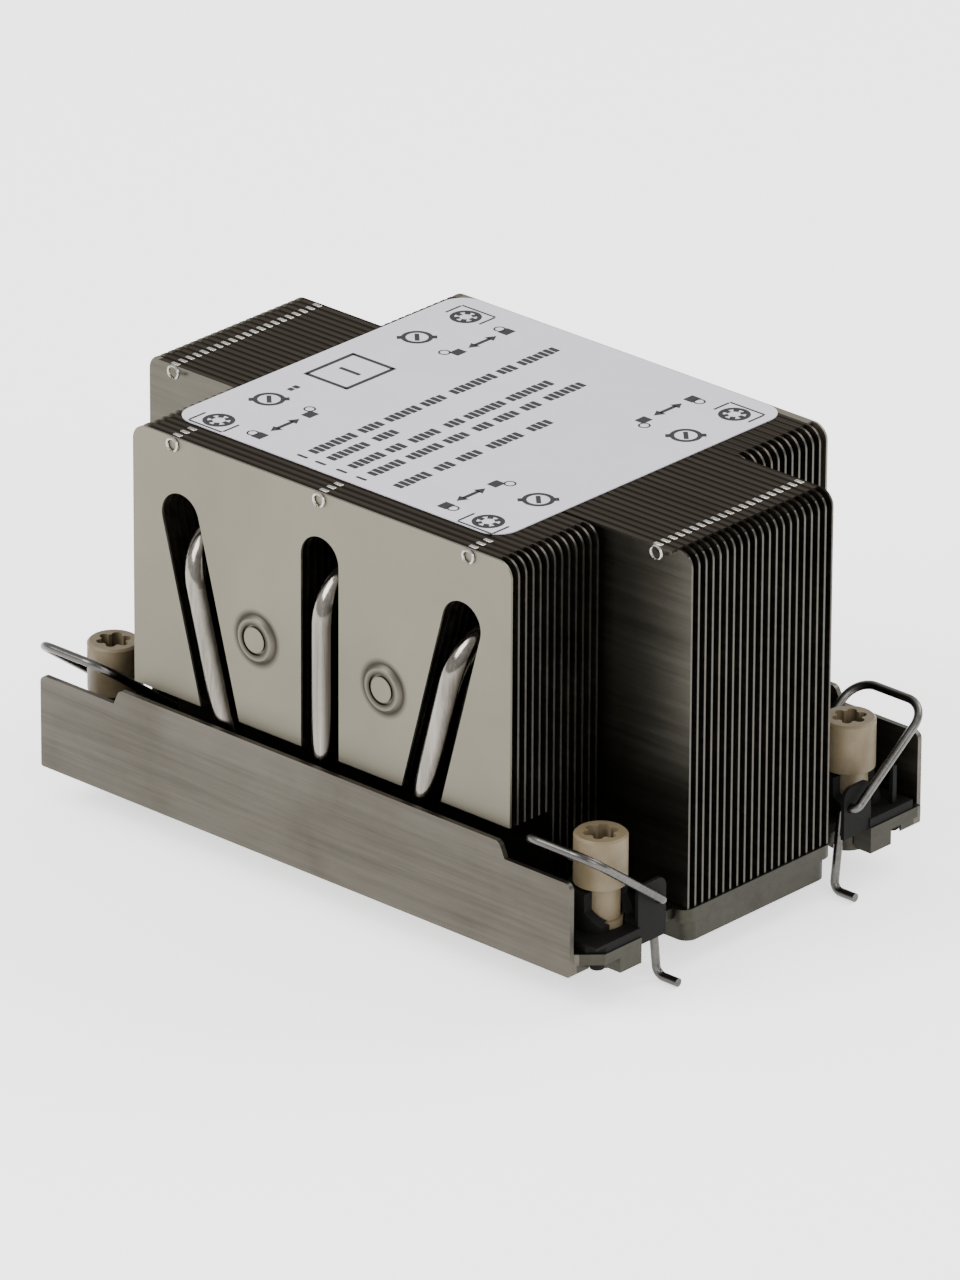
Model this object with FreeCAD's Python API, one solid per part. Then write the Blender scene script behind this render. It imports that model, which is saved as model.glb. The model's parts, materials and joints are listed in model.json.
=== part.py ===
"""Passive heatsink for a server processor: finned stack, heat pipes, base and wire locks.

Units are millimetres. The origin is the centre of the contact face, +Z points away from
the processor, X runs along the fins (the way the air flows) and Y across them.
"""

import FreeCAD, Part
import math
import os

from FreeCAD import Rotation, Vector

# ---- base ---------------------------------------------------------------------------
BASE_LENGTH = 115.6          # along X, over both corner floors
BASE_WIDTH = 78.0            # along Y, over both side walls
BASE_TOP = 5.6               # top of the plate above the contact face
FLOOR = 1.8                  # thickness of the plate at the four corners
RAIL_DROP = 1.8              # how far the rails under the walls stand below the corner floors
RAIL_WIDTH = 4.6
WALL = 0.9
WALL_LOW = 15.6              # wall height above the rail's underside, at the corners
WALL_HIGH = 18.2             # and along the fins
WALL_SETBACK = 0.8           # wall end behind the floor's end
CHAMFER_SETBACK = 3.3        # and at the two chamfered corners
WALL_STEP_OUT = 1.7          # foot of the wall's step beyond the short fins
WALL_RAMP = 1.2
WALL_CORNER = 1.2            # rounding of the upper wall corners
WALL_FOOT = 0.4              # and of the lower ones
CORNER_CHAMFER = 3.5
BLOCK_CORNER = 2.0           # upright corners of the thick middle
BLOCK_STEP = 0.3             # its upper band stands out beyond the wings' ends
BLOCK_SIDE = 1.0             # and beside them
BLOCK_STEP_UP = 3.4          # foot of that band

# ---- contact plate ------------------------------------------------------------------
PLATE_LENGTH = 70.0
PLATE_WIDTH = 52.0
PLATE_T = 1.1
PLATE_CHAMFER = 2.0

# ---- heat pipes ---------------------------------------------------------------------
PIPE_D = 4.5
PIPE_BEND = 8.0              # centre-line radius of both bends
PIPE_RISE = 46.7             # from the lower run to the upper run, along the pipe's own plane
PIPE_LEAN = 15.0             # degrees, outer pipes, tops outwards
PIPE_PITCH = 16.4            # between the lower runs
PIPE_WALL_GAP = 1.2          # front legs to the side wall
PIPE_FIT = 0.05              # solder gap around a pipe
PIPE_TIP = 1.6               # stub behind the last fin
PIPE_NOSE = 1.2              # rounding of the pinched tips

# ---- fins ---------------------------------------------------------------------------
FIN_T = 0.4
FIN_TOP = 64.7
STACK_SETBACK = 3.0          # outer fins inside the side walls' outer faces
CORE_SETBACK = 18.4          # short fins' ends inside the base's ends
WING_SETBACK = 1.3           # long fins' ends inside the base's ends
FRONT_FINS = 12              # without the end fin
WING_FINS = 21
REAR_FINS = 11               # without the end fin
FRONT_SEAM = 2.2             # from the last front fin to the first long fin
REAR_SEAM = 0.6              # from the last long fin to the first rear fin
FIN_CORNER = 2.6
WALL_CLEAR = 0.9             # cut-back fins stand above the wall
LIP_INSET = 3.0              # folded lip stops short of the fin's end
LIP_GAP = 0.12               # lip to the neighbouring fin
SLOT_WIDTH = 7.9
SLOT_RISE = 50.0             # slot's round end, measured as the pipe's rise is
BOSS_X = 13.3                # pressed dimples in the end fin
BOSS_UP = 15.1               # above the end fin's lower edge
BOSS_D = 8.0
BOSS_RIM = 0.9               # width of the raised rim
BOSS_GROOVE = 0.4            # width of the groove inside it
BOSS_H = 0.6

# ---- label --------------------------------------------------------------------------
LABEL_T = 0.15
LABEL_CORNER = 4.0
LABEL_LEFT = 2.6             # margins to the short fins' ends
LABEL_RIGHT = 7.8
LABEL_FRONT = 5.8            # margins to the stack's outer faces
LABEL_REAR = 0.4

# ---- captive nuts -------------------------------------------------------------------
NUT_SETBACK_X = 6.6          # nut's axis inside the end of the base
NUT_SETBACK_Y = 10.5         # and inside the side wall's outer face
NUT_LIFT = 0.35              # nut's foot above the base
NUT_HEIGHT = 15.95
NUT_HEAD_D = 8.4
NUT_HEAD_H = 8.1
NUT_BODY_D = 6.1
NUT_FOOT_D = 7.0
NUT_FOOT_H = 2.2
NUT_CHAMFER = 0.35
THREAD_MINOR_D = 3.3
THREAD_DEPTH = 8.0
DRIVE_D = 5.6                # over the lobes of the socket
DRIVE_DEPTH = 3.6
DRIVE_LOBE_R = 0.8
DRIVE_LOBES = 6
STUD_HOLE_D = 4.4            # through the base, for the stud
PAD_D = 6.6                  # pad under the corner floor, around that hole
PAD_DROP = 3.3
LUG_LENGTH = 3.4             # locating lug between the pad and the end of the base
LUG_WIDTH = 4.8
LUG_IN = 2.1                 # lug's inner side to the nut's axis, along Y
LUG_DROP = 2.5

# ---- retainers ----------------------------------------------------------------------
SLAB = 1.5                   # thickness of the foot plate
SLAB_WIDTH = 17.2            # along Y
SLAB_IN_X = 6.5              # its inner edges: from the nut's axis, along X
SLAB_IN_Y = 2.8              # and from the pivot, along Y
SLAB_SETBACK = 0.2           # its outer edge inside the end of the base
SLAB_TRIM = 0.3              # and inside the chamfer, along X and along Y
FOOT_CLEAR = 0.3             # around the nut's foot
BODY_CLEAR = 0.3             # around the nut's body
CUP_WALL = 1.2
CUP_RISE = 7.7               # top of the cup above the base
CUP_WINDOW = 3.4             # the cup is open beyond this distance from the axis
CUP_SLANT = 2.3              # the window's edge leans in by this much
CUP_SLANT_UP = 2.4           # from this height above the base
POST_HEIGHT = 8.3            # pivot posts above the base
POST_WIDTH = 6.3
POST_ROUND = 1.7
CHEEK_OUT = 0.65
CHEEK_IN = 1.15
CHEEK_GAP = 0.5              # inner cheek to the bail's inner leg
CHEEK_EDGE = 1.5             # cheek's inner edge to the pivot, along Y
CHEEK_DROP = 1.5             # outer cheek hangs beside the floor's edge
PLAIN_DROP = 0.2             # and at the two corners with a tab
TAB = 0.8                    # upright tab at two of the corners
TAB_WIDTH = 0.9
TAB_HEIGHT = 7.8
TAB_X = 4.4                  # tab's inner side to the nut's axis
TAB_Y = 4.5                  # and its inner edge, along Y
PEG_D = 2.2
PEG_CLEAR = 0.2
PEG_DROP = 1.4               # snap peg below the corner floor
PEG_X = 4.3                  # peg to the nut's axis, towards the end of the base
PEG_Y = 5.4                  # and towards the wall

# ---- wire locks ---------------------------------------------------------------------
WIRE_D = 1.4
PIVOT_SETBACK = 6.5          # pivot to the nut's axis, along Y
PIVOT_UP = 4.8               # pivot above the base
WIRE_REACH = 20.5            # pivot to the cross bar
WIRE_HALF = 7.3              # half the width of the bail, centre to centre
WIRE_BEND = 1.1              # at the pivots
WIRE_CORNER = 4.0            # at the cross bar
WIRE_ANGLE = 36.5            # bail above the horizontal, as drawn
HOOK_ANGLE = 133.0           # from the bail round to the hook leg
HOOK_INSET = 2.9             # hook leg inboard of the bail's outer leg
HOOK_REACH = 13.9
HOOK_FOOT = 4.4
HOOK_BEND = 1.5
PIN_END = 2.5                # inner pivot pin, from the bail's inner leg
PIVOT_FIT = 0.08             # running fit of the wire in its cheeks
HOOK_NOTCH = 2.4             # width of the notch for the hook leg

# ---- derived sizes ------------------------------------------------------------------
FLOOR_END = BASE_LENGTH / 2
HALF_WIDTH = BASE_WIDTH / 2
WALL_INNER = HALF_WIDTH - WALL
FLOOR_BOTTOM = BASE_TOP - FLOOR
RAIL_BOTTOM = FLOOR_BOTTOM - RAIL_DROP
CORE_HALF = FLOOR_END - CORE_SETBACK
WING_HALF = FLOOR_END - WING_SETBACK
PIPE_R = PIPE_D / 2
PIPE_BASE = BASE_TOP - PIPE_R
PIPE_FRONT = -(WALL_INNER - PIPE_WALL_GAP - PIPE_R)
STACK_FRONT = -(HALF_WIDTH - STACK_SETBACK)
STACK_BACK = -STACK_FRONT
STACK_PITCHES = FRONT_FINS + WING_FINS - 1 + REAR_FINS
FIN_PITCH = (STACK_BACK - STACK_FRONT - FRONT_SEAM - REAR_SEAM - FIN_T) / STACK_PITCHES
WING_FRONT = STACK_FRONT + FRONT_FINS * FIN_PITCH + FRONT_SEAM
WING_BACK = WING_FRONT + (WING_FINS - 1) * FIN_PITCH + FIN_T
REAR_FRONT = WING_BACK - FIN_T + REAR_SEAM
CLEARED_FINS = math.ceil((PIPE_FRONT + PIPE_BEND - STACK_FRONT - FIN_PITCH) / FIN_PITCH)
FIN_BOTTOM_HIGH = RAIL_BOTTOM + WALL_HIGH + WALL_CLEAR
NUT_X = FLOOR_END - NUT_SETBACK_X
NUT_Y = HALF_WIDTH - NUT_SETBACK_Y
NUT_BOTTOM = BASE_TOP + NUT_LIFT
NUT_TOP = NUT_BOTTOM + NUT_HEIGHT
LUG_Y = NUT_Y - LUG_IN
PIVOT_Y = NUT_Y - PIVOT_SETBACK
PIVOT_Z = BASE_TOP + PIVOT_UP
WIRE_OUT = NUT_X + WIRE_HALF
WIRE_IN = NUT_X - WIRE_HALF
HOOK_X = WIRE_OUT - HOOK_INSET
NOTCH_X = HOOK_X - HOOK_NOTCH / 2
CHEEK_X = (HOOK_X + WIRE_OUT - CHEEK_OUT) / 2
SLAB_Y = PIVOT_Y - SLAB_IN_Y


def box(x0, x1, y0, y1, z0, z1):
    """Solid block between two corners."""
    return Part.makeBox(x1 - x0, y1 - y0, z1 - z0, Vector(x0, y0, z0))


def rod(radius, x, y, z0, z1):
    """Upright cylinder."""
    return Part.makeCylinder(radius, z1 - z0, Vector(x, y, z0))


def prism(points, direction):
    """Solid from a flat outline pushed along a direction."""
    wire = Part.makePolygon([Vector(*p) for p in points + points[:1]])
    return Part.Face(wire).extrude(direction)


def fuse(shapes):
    """One solid from several that overlap or touch."""
    whole = shapes[0].fuse(shapes[1:])
    return whole.removeSplitter()


def rounded_path(points, radii):
    """Path of straight runs joined by tangent arcs, one radius for each inner point."""
    edges = []
    start = points[0]
    for before, corner, after, radius in zip(points, points[1:], points[2:], radii):
        back = (before - corner).normalize()
        ahead = (after - corner).normalize()
        half = back.getAngle(ahead) / 2
        reach = radius / math.tan(half)
        first = corner + back * reach
        last = corner + ahead * reach
        inward = (back + ahead).normalize()
        middle = corner + inward * (radius / math.sin(half) - radius)
        if (first - start).Length > 1e-6:
            edges.append(Part.makeLine(start, first))
        edges.append(Part.Arc(first, middle, last).toShape())
        start = last
    edges.append(Part.makeLine(start, points[-1]))
    return Part.Wire(edges)


def tube_along(path, radius):
    """Round bar swept along a path."""
    first = path.Edges[0]
    start = first.valueAt(first.FirstParameter)
    heading = first.tangentAt(first.FirstParameter)
    ring = Part.Wire(Part.makeCircle(radius, start, heading))
    return path.makePipeShell([ring], True, False)


def at_corner(shape, side_x, side_y):
    """Copy of a corner piece in another corner, mirrored across the centre planes."""
    placed = shape.copy()
    if side_x < 0:
        placed = placed.mirror(Vector(0, 0, 0), Vector(1, 0, 0))
    if side_y < 0:
        placed = placed.mirror(Vector(0, 0, 0), Vector(0, 1, 0))
    return placed


# ---- heat pipes ---------------------------------------------------------------------
def pipe_stations():
    """Foot X and lean of each pipe, left to right."""
    return [(-PIPE_PITCH, -PIPE_LEAN), (0.0, 0.0), (PIPE_PITCH, PIPE_LEAN)]


def in_pipe_plane(foot_x, lean, y, rise):
    """Point in a pipe's leaning plane, at a height above its lower run."""
    angle = math.radians(lean)
    return Vector(foot_x + rise * math.sin(angle), y, PIPE_BASE + rise * math.cos(angle))


def pipe_body(foot_x, lean, radius):
    """C-shaped bar along a pipe's route, with a given radius."""
    lower_end = PLATE_WIDTH / 2
    upper_end = STACK_BACK + PIPE_TIP
    path = rounded_path(
        [
            in_pipe_plane(foot_x, lean, lower_end, 0),
            in_pipe_plane(foot_x, lean, PIPE_FRONT, 0),
            in_pipe_plane(foot_x, lean, PIPE_FRONT, PIPE_RISE),
            in_pipe_plane(foot_x, lean, upper_end, PIPE_RISE),
        ],
        [PIPE_BEND, PIPE_BEND],
    )
    return tube_along(path, radius)


def make_pipe(foot_x, lean):
    """Heat pipe: lower run in the base, leg behind the wall, upper run in the fins."""
    return round_tip(pipe_body(foot_x, lean, PIPE_R), STACK_BACK + PIPE_TIP)


def round_tip(pipe, end_y):
    """Round over the free end of the upper run."""
    rims = []
    for edge in pipe.Edges:
        centre = edge.BoundBox.Center
        if edge.BoundBox.YLength < 1e-3 and abs(centre.y - end_y) < 1e-3:
            rims.append(edge)
    return pipe.makeFillet(PIPE_NOSE, rims)


def pipe_groove(foot_x, lean):
    """Groove for a lower run, open at the top, that also clears the leaning front bend."""
    width = PIPE_R + PIPE_FIT
    back = PLATE_WIDTH / 2 + PIPE_FIT
    front = PIPE_FRONT - PIPE_R
    run = Part.makeCylinder(width, back - front, Vector(foot_x, front, PIPE_BASE), Vector(0, 1, 0))
    top = box(foot_x - width, foot_x + width, front, back, PIPE_BASE, BASE_TOP + 1)
    return run.fuse([top, pipe_body(foot_x, lean, width)])


# ---- base ---------------------------------------------------------------------------
def wall_profile():
    """One side wall, low at both ends so that the wire locks can swing over it."""
    low = RAIL_BOTTOM + WALL_LOW
    high = RAIL_BOTTOM + WALL_HIGH
    left = -(FLOOR_END - CHAMFER_SETBACK)
    right = FLOOR_END - WALL_SETBACK
    step = CORE_HALF + WALL_STEP_OUT
    points = [
        (left, WALL_INNER, RAIL_BOTTOM),
        (left, WALL_INNER, low),
        (-step, WALL_INNER, low),
        (-step + WALL_RAMP, WALL_INNER, high),
        (step - WALL_RAMP, WALL_INNER, high),
        (step, WALL_INNER, low),
        (right, WALL_INNER, low),
        (right, WALL_INNER, RAIL_BOTTOM),
    ]
    wall = prism(points, Vector(0, WALL, 0))
    upper = [edge for edge in wall.Edges if is_outward_corner(edge, step)]
    wall = wall.makeFillet(WALL_CORNER, upper)
    return wall.makeFillet(WALL_FOOT, lower_ends(wall))


def is_outward_corner(edge, step):
    """True for a wall's upper outward corners; the steps' feet stay sharp."""
    bounds = edge.BoundBox
    across = bounds.YLength > WALL - 1e-3 and bounds.XLength < 1e-6
    upper = bounds.ZMin > RAIL_BOTTOM + 1e-3
    return across and upper and abs(abs(bounds.Center.x) - step) > 1e-3


def lower_ends(bar):
    """Lowest edges across a wall or a rail, at its two ends."""
    lowest = [edge for edge in bar.Edges if edge.BoundBox.ZMax < RAIL_BOTTOM + 1e-3]
    return [edge for edge in lowest if edge.BoundBox.XLength < 1e-3]


def rail():
    """Rail under a side wall, as long as the wall and rounded like it."""
    left = -(FLOOR_END - CHAMFER_SETBACK)
    right = FLOOR_END - WALL_SETBACK
    bar = box(left, right, HALF_WIDTH - RAIL_WIDTH, HALF_WIDTH, RAIL_BOTTOM, BASE_TOP)
    return bar.makeFillet(WALL_FOOT, lower_ends(bar))


def floor_plate():
    """Thin floor of the base, cut back at both ends between the lugs."""
    floor = box(-FLOOR_END, FLOOR_END, -WALL_INNER, WALL_INNER, FLOOR_BOTTOM, BASE_TOP)
    gap = box(NOTCH_X, FLOOR_END + 1, -LUG_Y, LUG_Y, FLOOR_BOTTOM - 1, BASE_TOP + 1)
    return floor.cut([gap, at_corner(gap, -1, 1)])


def middle_blocks():
    """Thick middle of the plate: under the short fins, and out to the wing ends."""
    core = box(-CORE_HALF, CORE_HALF, -PLATE_WIDTH / 2, STACK_BACK, 0, BASE_TOP)
    low = wing_block(0, 0, 0, BLOCK_STEP_UP)
    band = wing_block(BLOCK_STEP, BLOCK_SIDE, BLOCK_STEP_UP, BASE_TOP)
    return [core, low, band]


def wing_block(out, side, bottom, top):
    """Block under the long fins, grown at its ends and sides, its upright corners rounded."""
    half = WING_HALF + out
    block = box(-half, half, WING_FRONT - side, WING_BACK + side, bottom, top)
    upright = [edge for edge in block.Edges if edge.BoundBox.ZLength > (top - bottom) / 2]
    return block.makeFillet(BLOCK_CORNER, upright)


def chamfer_cut():
    """Outer corner of a floor, cut at forty-five degrees."""
    x = FLOOR_END
    y = WALL_INNER
    points = [
        (x - CORNER_CHAMFER, y, -1),
        (x + 1, y, -1),
        (x + 1, y - CORNER_CHAMFER - 1, -1),
    ]
    return prism(points, Vector(0, 0, FLOOR_BOTTOM + FLOOR + 2))


def corner_bosses():
    """Pad around the stud hole and the locating lug beside it, under the corner floor."""
    pad = rod(PAD_D / 2, NUT_X, NUT_Y, FLOOR_BOTTOM - PAD_DROP, BASE_TOP)
    lug_x = FLOOR_END - LUG_LENGTH
    lug = box(lug_x, FLOOR_END, LUG_Y, LUG_Y + LUG_WIDTH, FLOOR_BOTTOM - LUG_DROP, BASE_TOP)
    return [pad, lug]


def make_base():
    """Machined plate with folded-up side walls, rails, corner floors and pipe grooves."""
    parts = [floor_plate()]
    parts += middle_blocks()
    for side in (1, -1):
        parts.append(at_corner(wall_profile(), side, side))
        parts.append(at_corner(rail(), side, side))
    for side_x, side_y in CORNERS.values():
        parts += [at_corner(boss, side_x, side_y) for boss in corner_bosses()]
    base = fuse(parts)
    cuts = [contact_recess()]
    cuts += [pipe_groove(foot_x, lean) for foot_x, lean in pipe_stations()]
    stud = rod(STUD_HOLE_D / 2, NUT_X, NUT_Y, -1, BASE_TOP + 1)
    peg_r = PEG_D / 2 + PEG_CLEAR
    peg = rod(peg_r, NUT_X + PEG_X, NUT_Y + PEG_Y, -1, BASE_TOP + 1)
    for side_x, side_y in CORNERS.values():
        cuts.append(at_corner(stud, side_x, side_y))
        cuts.append(at_corner(peg, side_x, side_y))
        if side_x != side_y:
            cuts.append(at_corner(chamfer_cut(), side_x, side_y))
    return base.cut(cuts)


def contact_recess():
    """Seat of the contact plate in the underside."""
    return plate_block(PIPE_FIT, -1)


def plate_block(extra, bottom):
    """Contact plate's outline with cut corners, grown by a clearance."""
    x = PLATE_LENGTH / 2 + extra
    y = PLATE_WIDTH / 2 + extra
    c = PLATE_CHAMFER
    points = [
        (-x + c, -y, bottom),
        (x - c, -y, bottom),
        (x, -y + c, bottom),
        (x, y - c, bottom),
        (x - c, y, bottom),
        (-x + c, y, bottom),
        (-x, y - c, bottom),
        (-x, -y + c, bottom),
    ]
    return prism(points, Vector(0, 0, PLATE_T - bottom))


def make_contact_plate():
    """Copper plate that meets the processor, soldered under the pipes."""
    return plate_block(0, 0)


# ---- fins ---------------------------------------------------------------------------
def web_outline(half, bottom):
    """Fin outline with rounded top corners, in the plane Y = 0."""
    r = FIN_CORNER
    top = FIN_TOP
    low_left = Vector(-half, 0, bottom)
    low_right = Vector(half, 0, bottom)
    right = Vector(half, 0, top - r)
    top_right = Vector(half - r, 0, top)
    top_left = Vector(-half + r, 0, top)
    left = Vector(-half, 0, top - r)
    bow = r * (1 - math.cos(math.radians(45)))
    right_mid = Vector(half - bow, 0, top - bow)
    left_mid = Vector(-half + bow, 0, top - bow)
    return Part.Wire(
        [
            Part.makeLine(low_left, low_right),
            Part.makeLine(low_right, right),
            Part.Arc(right, right_mid, top_right).toShape(),
            Part.makeLine(top_right, top_left),
            Part.Arc(top_left, left_mid, left).toShape(),
            Part.makeLine(left, low_left),
        ]
    )


def slot_face(foot_x, lean, bottom):
    """Open slot over a pipe's leg, round at the top, in the plane Y = 0."""
    r = SLOT_WIDTH / 2
    lowest = (bottom - PIPE_BASE) / math.cos(math.radians(lean)) - SLOT_WIDTH
    axis = in_pipe_plane(0, lean, 0, 1) - in_pipe_plane(0, lean, 0, 0)
    side = Vector(axis.z, 0, -axis.x)
    head = in_pipe_plane(foot_x, lean, 0, SLOT_RISE)
    foot = in_pipe_plane(foot_x, lean, 0, lowest)
    left = head - side * r
    right = head + side * r
    cap = Part.Arc(left, head + axis * r, right).toShape()
    wire = Part.Wire(
        [
            cap,
            Part.makeLine(right, foot + side * r),
            Part.makeLine(foot + side * r, foot - side * r),
            Part.makeLine(foot - side * r, left),
        ]
    )
    return Part.Face(wire)


def collar_face(foot_x, lean):
    """Round hole for a pipe's upper run, in the plane Y = 0."""
    centre = in_pipe_plane(foot_x, lean, 0, PIPE_RISE)
    ring = Part.makeCircle(PIPE_R + PIPE_FIT, centre, Vector(0, 1, 0))
    return Part.Face(Part.Wire(ring))


def make_web(half, bottom, openings):
    """Flat part of a fin, with its pipe openings, front face in the plane Y = 0."""
    face = Part.Face(web_outline(half, bottom))
    face = face.cut(openings)
    return face.extrude(Vector(0, FIN_T, 0))


def make_fin(half, bottom, openings, space):
    """Fin with lips folded towards the fin in front, at the top and on the base."""
    web = make_web(half, bottom, openings)
    reach = min(space, FIN_PITCH) - FIN_T - LIP_GAP
    if reach <= 0:
        return web
    lip_half = half - LIP_INSET
    lips = [box(-lip_half, lip_half, -reach, 0, FIN_TOP - FIN_T, FIN_TOP)]
    if bottom < FIN_BOTTOM_HIGH:
        lips.append(box(-lip_half, lip_half, -reach, 0, bottom, bottom + FIN_T))
    return fuse([web] + lips)


def place_row(fin, first_y, count):
    """Copies of one fin along the stack."""
    return [fin.translated(Vector(0, first_y + i * FIN_PITCH, 0)) for i in range(count)]


def openings_for(kind, bottom):
    """Pipe openings of a fin: slots over the legs, or round holes for the upper runs."""
    if kind == "slots":
        return [slot_face(foot_x, lean, bottom) for foot_x, lean in pipe_stations()]
    return [collar_face(foot_x, lean) for foot_x, lean in pipe_stations()]


def make_front_fins():
    """Short fins in front of the wings, the first ones cut back over the pipe bends."""
    high = FIN_BOTTOM_HIGH
    first = STACK_FRONT + FIN_PITCH
    cleared = make_fin(CORE_HALF, high, openings_for("slots", high), FIN_PITCH)
    full = make_fin(CORE_HALF, BASE_TOP, openings_for("holes", BASE_TOP), FIN_PITCH)
    rows = place_row(cleared, first, CLEARED_FINS)
    rest = FRONT_FINS - CLEARED_FINS
    rows += place_row(full, first + CLEARED_FINS * FIN_PITCH, rest)
    return Part.makeCompound(rows)


def make_wing_fins():
    """Long fins that reach out between the corner nuts."""
    openings = openings_for("holes", BASE_TOP)
    fin = make_fin(WING_HALF, BASE_TOP, openings, FIN_PITCH)
    return Part.makeCompound(place_row(fin, WING_FRONT, WING_FINS))


def make_rear_fins():
    """Short fins behind the wings."""
    openings = openings_for("holes", BASE_TOP)
    first = make_fin(CORE_HALF, BASE_TOP, openings, REAR_SEAM)
    fin = make_fin(CORE_HALF, BASE_TOP, openings, FIN_PITCH)
    rows = place_row(first, REAR_FRONT, 1)
    rows += place_row(fin, REAR_FRONT + FIN_PITCH, REAR_FINS - 1)
    return Part.makeCompound(rows)


def dimple(x):
    """Dish pressed out of the end fin: a raised rim, a groove and a raised middle."""
    z = FIN_BOTTOM_HIGH + BOSS_UP
    ahead = Vector(0, -1, 0)
    rim = BOSS_D / 2 - BOSS_H
    dish = Part.makeCone(BOSS_D / 2, rim, BOSS_H, Vector(x, 0, z), ahead)
    groove_out = rim - BOSS_RIM
    groove_in = groove_out - BOSS_GROOVE
    start = Vector(x, -BOSS_H / 3, z)
    groove = Part.makeCylinder(groove_out, BOSS_H, start, ahead)
    middle = Part.makeCylinder(groove_in, BOSS_H, start, ahead)
    return dish.cut(groove.cut(middle))


def make_front_end_fin():
    """Plain outer fin of the front, with its slots and two pressed dimples."""
    high = FIN_BOTTOM_HIGH
    web = make_web(CORE_HALF, high, openings_for("slots", high))
    whole = fuse([web, dimple(-BOSS_X), dimple(BOSS_X)])
    return whole.translated(Vector(0, STACK_FRONT, 0))


def make_rear_end_fin():
    """Outer fin of the rear, with the pipe tips standing through it."""
    openings = openings_for("holes", BASE_TOP)
    fin = make_fin(CORE_HALF, BASE_TOP, openings, FIN_PITCH)
    return fin.translated(Vector(0, STACK_BACK - FIN_T, 0))


# ---- label --------------------------------------------------------------------------
def make_label():
    """Thin sheet with rounded corners on top of the lips."""
    x0 = -CORE_HALF + LABEL_LEFT
    x1 = CORE_HALF - LABEL_RIGHT
    y0 = STACK_FRONT + LABEL_FRONT
    y1 = STACK_BACK - LABEL_REAR
    sheet = box(x0, x1, y0, y1, FIN_TOP, FIN_TOP + LABEL_T)
    upright = [edge for edge in sheet.Edges if edge.BoundBox.ZLength > LABEL_T / 2]
    return sheet.makeFillet(LABEL_CORNER, upright)


# ---- nuts ---------------------------------------------------------------------------
def nut_profile():
    """Half section of a nut, turned about its axis."""
    head = NUT_HEAD_D / 2
    body = NUT_BODY_D / 2
    foot = NUT_FOOT_D / 2
    c = NUT_CHAMFER
    neck = NUT_TOP - NUT_HEAD_H
    foot_top = NUT_BOTTOM + NUT_FOOT_H
    points = [
        (0, NUT_BOTTOM),
        (foot - c, NUT_BOTTOM),
        (foot, NUT_BOTTOM + c),
        (foot, foot_top),
        (body, foot_top),
        (body, neck),
        (head, neck),
        (head, NUT_TOP - c),
        (head - c, NUT_TOP),
        (0, NUT_TOP),
    ]
    wire = Part.makePolygon([Vector(x, 0, z) for x, z in points + points[:1]])
    return Part.Face(wire).revolve(Vector(0, 0, 0), Vector(0, 0, 1), 360)


def drive_socket():
    """Six-lobed driver socket."""
    lobe_at = DRIVE_D / 2 - DRIVE_LOBE_R
    bottom = NUT_TOP - DRIVE_DEPTH
    tools = [rod(lobe_at, 0, 0, bottom, NUT_TOP + 1)]
    for i in range(DRIVE_LOBES):
        angle = 2 * math.pi * i / DRIVE_LOBES
        x = lobe_at * math.cos(angle)
        y = lobe_at * math.sin(angle)
        tools.append(rod(DRIVE_LOBE_R, x, y, bottom, NUT_TOP + 1))
    return tools[0].fuse(tools[1:])


def make_nut():
    """Captive nut with a driver socket above and a tapped hole below."""
    nut = nut_profile().cut(drive_socket())
    tapped = rod(THREAD_MINOR_D / 2, 0, 0, NUT_BOTTOM - 1, NUT_BOTTOM + THREAD_DEPTH)
    nut = nut.cut(tapped)
    return nut.translated(Vector(NUT_X, NUT_Y, 0))


# ---- retainers ----------------------------------------------------------------------
def retainer_slab(chamfered):
    """Foot plate of a retainer, notched for the hook leg."""
    inner = NUT_X - SLAB_IN_X
    outer = FLOOR_END - SLAB_SETBACK
    top = BASE_TOP + SLAB
    slab = box(inner, outer, SLAB_Y, SLAB_Y + SLAB_WIDTH, BASE_TOP, top)
    notch = box(NOTCH_X, FLOOR_END + 1, SLAB_Y - 1, LUG_Y, BASE_TOP - 1, top + 1)
    slab = slab.cut(notch)
    if chamfered:
        cut = chamfer_cut().translated(Vector(-SLAB_TRIM, -SLAB_TRIM, 0))
        slab = slab.cut(cut)
    return slab


def nut_cup():
    """Cup wall around the nut's foot, open towards the end of the base."""
    outer = NUT_FOOT_D / 2 + FOOT_CLEAR + CUP_WALL
    top = BASE_TOP + CUP_RISE
    wall = rod(outer, NUT_X, NUT_Y, BASE_TOP, top)
    x = NUT_X + CUP_WINDOW
    far = NUT_X + outer + 1
    y = NUT_Y - outer
    slant = BASE_TOP + CUP_SLANT_UP
    points = [
        (x, y, BASE_TOP + SLAB),
        (x, y, slant),
        (x - CUP_SLANT, y, slant + CUP_SLANT),
        (x - CUP_SLANT, y, top + 1),
        (far, y, top + 1),
        (far, y, BASE_TOP + SLAB),
    ]
    window = prism(points, Vector(0, 2 * outer, 0))
    hook_way = box(NOTCH_X, far, y, LUG_Y, BASE_TOP - 1, top + 1)
    return wall.cut([window, hook_way])


def cup_bore():
    """Stepped bore that keeps the nut's foot in and lets its body turn."""
    foot = NUT_FOOT_D / 2 + FOOT_CLEAR
    body = NUT_BODY_D / 2 + BODY_CLEAR
    foot_top = NUT_BOTTOM + NUT_FOOT_H + FOOT_CLEAR
    low = rod(foot, NUT_X, NUT_Y, BASE_TOP - 1, foot_top)
    high = rod(body, NUT_X, NUT_Y, foot_top, NUT_TOP)
    return low.fuse(high)


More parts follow.
